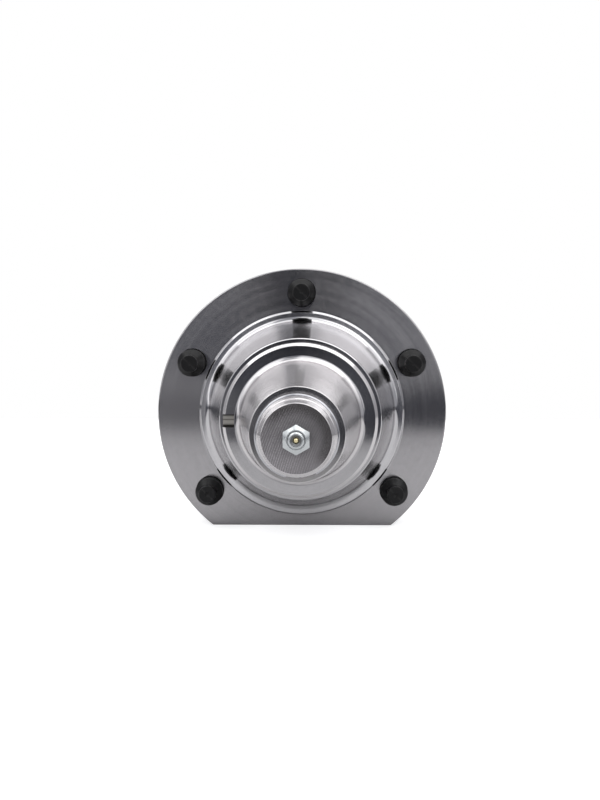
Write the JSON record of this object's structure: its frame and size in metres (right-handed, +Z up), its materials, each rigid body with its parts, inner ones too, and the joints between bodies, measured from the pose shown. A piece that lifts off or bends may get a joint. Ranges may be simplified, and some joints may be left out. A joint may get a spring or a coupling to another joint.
{
  "type": "hydraulic motor",
  "caption": "Compact hydraulic motor with a D-shaped studded mounting flange, conical bearing nose and tapered output shaft with a drive shoulder and grease fitting.",
  "frame": {"origin": "centre of the flat foot milled on the mounting flange, directly under the shaft axis and midway through the flange's thickness", "axes": "+Z up from the foot through the shaft axis, 59.5 mm above it; the shaft axis is parallel to Y and its free end points to -Y; +X is to the right when looking at the shaft end"},
  "size_m": [0.152, 0.2901, 0.1355],
  "materials": {
    "machined_steel": "bare turned steel with fine circular tool marks and a light oil film",
    "black_oxide": "black oxide on alloy steel, slightly glossy, worn at the edges",
    "zinc_plate": "bright zinc plate",
    "brass": "polished yellow metal",
    "hardened_steel": "hardened and finely ground",
    "ground_steel": "surface ground faces with a turned rim",
    "bronze": "cast bronze, machined",
    "seal_rubber": "black nitrile rubber",
    "painted_casting": "satin black paint over an iron casting, bare machined pads"
  },
  "bodies": {
    "housing": {"case_drain_plug": "zinc_plate", "check_valve_plug_1": "black_oxide", "check_valve_plug_2": "black_oxide", "check_valve_spring_1": "hardened_steel", "check_valve_spring_2": "hardened_steel", "cover_o_ring": "seal_rubber", "dowel_1": "hardened_steel", "dowel_2": "hardened_steel", "dust_seal": "seal_rubber", "end_cover": "painted_casting", "flange_housing": "machined_steel", "front_bearing_outer_race": "hardened_steel", "gerotor_ring_housing": "ground_steel", "housing_o_ring": "seal_rubber", "mounting_stud_1": "black_oxide", "mounting_stud_2": "black_oxide", "mounting_stud_3": "black_oxide", "mounting_stud_4": "black_oxide", "mounting_stud_5": "black_oxide", "outer_race_spacer": "ground_steel", "port_housing": "painted_casting", "port_plate": "ground_steel", "rear_bearing_outer_race": "hardened_steel", "rear_bush": "bronze", "seal_carrier": "ground_steel", "shaft_seal": "seal_rubber", "tie_bolt_1": "black_oxide", "tie_bolt_2": "black_oxide", "tie_bolt_3": "black_oxide", "tie_bolt_4": "black_oxide", "tie_bolt_5": "black_oxide", "tie_bolt_6": "black_oxide", "wear_plate": "ground_steel"},
    "shaft": {"output_shaft": "machined_steel", "grease_fitting_body": "zinc_plate", "grease_fitting_spring": "hardened_steel", "shaft_retaining_ring": "hardened_steel", "front_bearing_inner_race": "hardened_steel", "rear_bearing_inner_race": "hardened_steel", "inner_race_spacer": "ground_steel", "bearing_retaining_ring": "hardened_steel", "inner_rotor": "hardened_steel", "rotor_key": "ground_steel"},
    "grease_ball": {"grease_fitting_ball": "brass"},
    "front_rollers": {"front_bearing_roller_set": "bronze"},
    "rear_rollers": {"rear_bearing_roller_set": "bronze"},
    "outer_rotor": {"outer_rotor": "hardened_steel"},
    "valve_ball_1": {"check_valve_ball_1": "hardened_steel"},
    "valve_ball_2": {"check_valve_ball_2": "hardened_steel"}
  },
  "joints": [
    {"name": "shaft_spin", "type": "hinge", "parent": "housing", "child": "shaft", "pos_m": [0, -0.01, 0.0595], "axis": [0, -1, 0], "continuous": true},
    {"name": "outer_rotor_spin", "type": "hinge", "parent": "housing", "child": "outer_rotor", "pos_m": [0, 0.06, 0.0565], "axis": [0, -1, 0], "continuous": true},
    {"name": "front_rollers_spin", "type": "hinge", "parent": "housing", "child": "front_rollers", "pos_m": [0, -0.027, 0.0595], "axis": [0, -1, 0], "continuous": true},
    {"name": "rear_rollers_spin", "type": "hinge", "parent": "housing", "child": "rear_rollers", "pos_m": [0, 0.017, 0.0595], "axis": [0, -1, 0], "continuous": true},
    {"name": "grease_ball_slide", "type": "slide", "parent": "shaft", "child": "grease_ball", "axis": [0, 1, 0], "range_m": [0, 0.0008], "deforming": ["grease_fitting_spring"]},
    {"name": "valve_ball_1_slide", "type": "slide", "parent": "housing", "child": "valve_ball_1", "axis": [-1, 0, 0], "range_m": [0, 0.0012], "deforming": ["check_valve_spring_1"]},
    {"name": "valve_ball_2_slide", "type": "slide", "parent": "housing", "child": "valve_ball_2", "axis": [1, 0, 0], "range_m": [0, 0.0012], "deforming": ["check_valve_spring_2"]}
  ],
  "couplings": [
    {"joint": "outer_rotor_spin", "follows": "shaft_spin", "ratio": 0.85714},
    {"joint": "front_rollers_spin", "follows": "shaft_spin", "ratio": 0.44174},
    {"joint": "rear_rollers_spin", "follows": "shaft_spin", "ratio": 0.44174}
  ]
}
